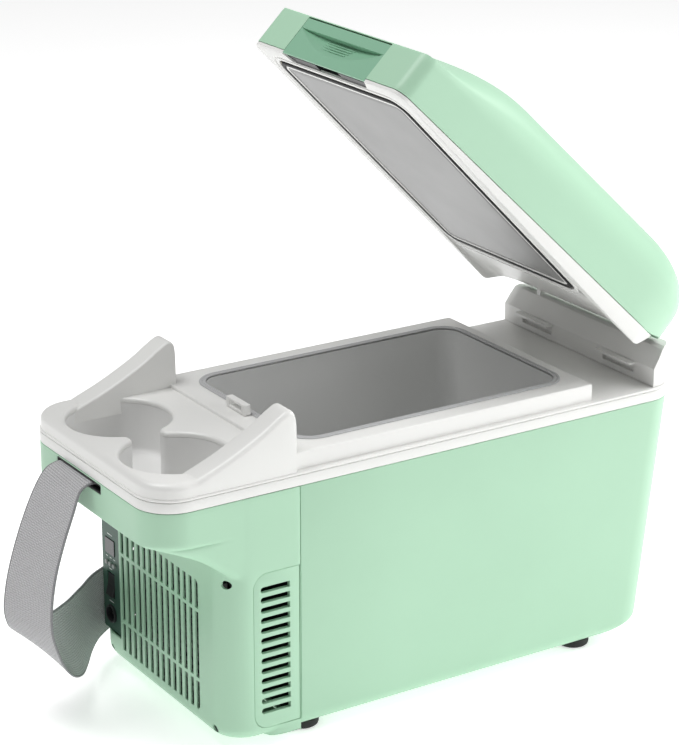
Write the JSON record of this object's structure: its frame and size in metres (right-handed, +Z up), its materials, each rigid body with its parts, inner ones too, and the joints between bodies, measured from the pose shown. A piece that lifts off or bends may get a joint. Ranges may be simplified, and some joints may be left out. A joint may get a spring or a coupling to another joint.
{
  "type": "compressor cooler fridge",
  "caption": "Portable vehicle compressor cooler with a domed hinged lid, joined cup wells in a front deck, grilled machine bay and carry strap.",
  "frame": {"origin": "on the surface that the cooler stands on, in the middle of its footprint with the lid open", "axes": "+X to the cooler's right, seen from the front grille; +Y from the grille to the hinge; +Z up"},
  "size_m": [0.226, 0.5812, 0.5442],
  "materials": {
    "green_casing": "satin mint green moulding",
    "green_shell": "satin mint green moulding",
    "green_vent": "satin mint green moulding",
    "green_lid": "satin mint green moulding",
    "green_latch": "satin deeper green moulding",
    "white_rim": "satin white moulding",
    "white_deck": "satin white moulding",
    "white_cup_tray": "satin white moulding",
    "white_pan": "satin white moulding",
    "liner_grey": "smooth light grey moulding",
    "trim_grey": "satin grey edge trim",
    "inner_panel_grey": "satin light grey sheet",
    "button_grey": "matt grey",
    "control_strip": "dark green satin panel",
    "display_glass": "gloss black window",
    "black_plastic": "matt black moulding",
    "black_steel": "black paint",
    "steel": "plain steel",
    "screw_steel": "dark plated steel",
    "aluminium": "plain mill finish",
    "copper": "plain drawn copper",
    "circuit_green": "coated circuit board",
    "foam": "moulded polyurethane foam",
    "foot_rubber": "matt black rubber",
    "seal_rubber": "matt black seal",
    "strap_webbing": "grey basket-weave webbing"
  },
  "bodies": {
    "cabinet": {"front_casing": "green_casing", "main_shell": "green_shell", "side_vent_panel_left": "green_vent", "side_vent_panel_right": "green_vent", "rim_band": "white_rim", "top_cover": "white_deck", "cup_tray": "white_cup_tray", "hinge_housing": "white_deck", "channel_lip_left": "white_deck", "channel_lip_right": "white_deck", "latch_catch": "white_deck", "liner": "liner_grey", "liner_trim": "trim_grey", "insulation_foam": "foam", "evaporator_plate": "aluminium", "bulkhead": "black_plastic", "compressor": "black_steel", "compressor_bracket": "steel", "condenser": "aluminium", "fan_frame": "black_plastic", "discharge_pipe": "copper", "suction_pipe": "copper", "filter_drier": "copper", "control_board": "circuit_green", "control_panel": "control_strip", "display_window": "display_glass", "power_inlet": "black_plastic", "foot_front_left": "foot_rubber", "foot_front_right": "foot_rubber", "foot_rear_left": "foot_rubber", "foot_rear_right": "foot_rubber", "casing_screw_left_top": "screw_steel", "casing_screw_left_bottom": "screw_steel", "casing_screw_right_top": "screw_steel", "casing_screw_right_bottom": "screw_steel", "carry_strap": "strap_webbing", "strap_slot_front": "black_plastic", "strap_slot_rear": "black_plastic", "hinge_pin_left": "steel", "hinge_pin_right": "steel"},
    "lid": {"lid_shell": "green_lid", "lid_pan": "white_pan", "lid_inner_panel": "inner_panel_grey", "lid_gasket": "seal_rubber", "lid_foam": "foam", "latch_pin": "steel", "latch_spring": "steel"},
    "latch": {"latch_lever": "green_latch"},
    "fan": {"fan_rotor": "black_plastic"},
    "rocker": {"power_rocker": "black_plastic"},
    "set_key": {"button_set": "button_grey"},
    "minus_key": {"button_minus": "button_grey"},
    "plus_key": {"button_plus": "button_grey"}
  },
  "joints": [
    {"name": "lid_hinge", "type": "hinge", "parent": "cabinet", "child": "lid", "pos_m": [0, 0.2317, 0.276], "axis": [1, 0, 0], "range_deg": [-39.5, 45.5]},
    {"name": "latch_pull", "type": "hinge", "parent": "lid", "child": "latch", "pos_m": [0, -0.02047, 0.53433], "axis": [-1, 0, 0], "range_deg": [0, 10], "stiffness_Nm_per_rad": 0.4},
    {"name": "fan_spin", "type": "hinge", "parent": "cabinet", "child": "fan", "pos_m": [0.016, -0.1688, 0.076], "axis": [0, 1, 0], "continuous": true},
    {"name": "rocker_tilt", "type": "hinge", "parent": "cabinet", "child": "rocker", "pos_m": [-0.09, -0.1973, 0.074], "axis": [1, 0, 0], "range_deg": [0, 12]},
    {"name": "set_press", "type": "slide", "parent": "cabinet", "child": "set_key", "axis": [0, 1, 0], "range_m": [0, 0.0008], "stiffness_N_per_m": 600},
    {"name": "minus_press", "type": "slide", "parent": "cabinet", "child": "minus_key", "axis": [0, 1, 0], "range_m": [0, 0.0008], "stiffness_N_per_m": 600},
    {"name": "plus_press", "type": "slide", "parent": "cabinet", "child": "plus_key", "axis": [0, 1, 0], "range_m": [0, 0.0008], "stiffness_N_per_m": 600}
  ]
}
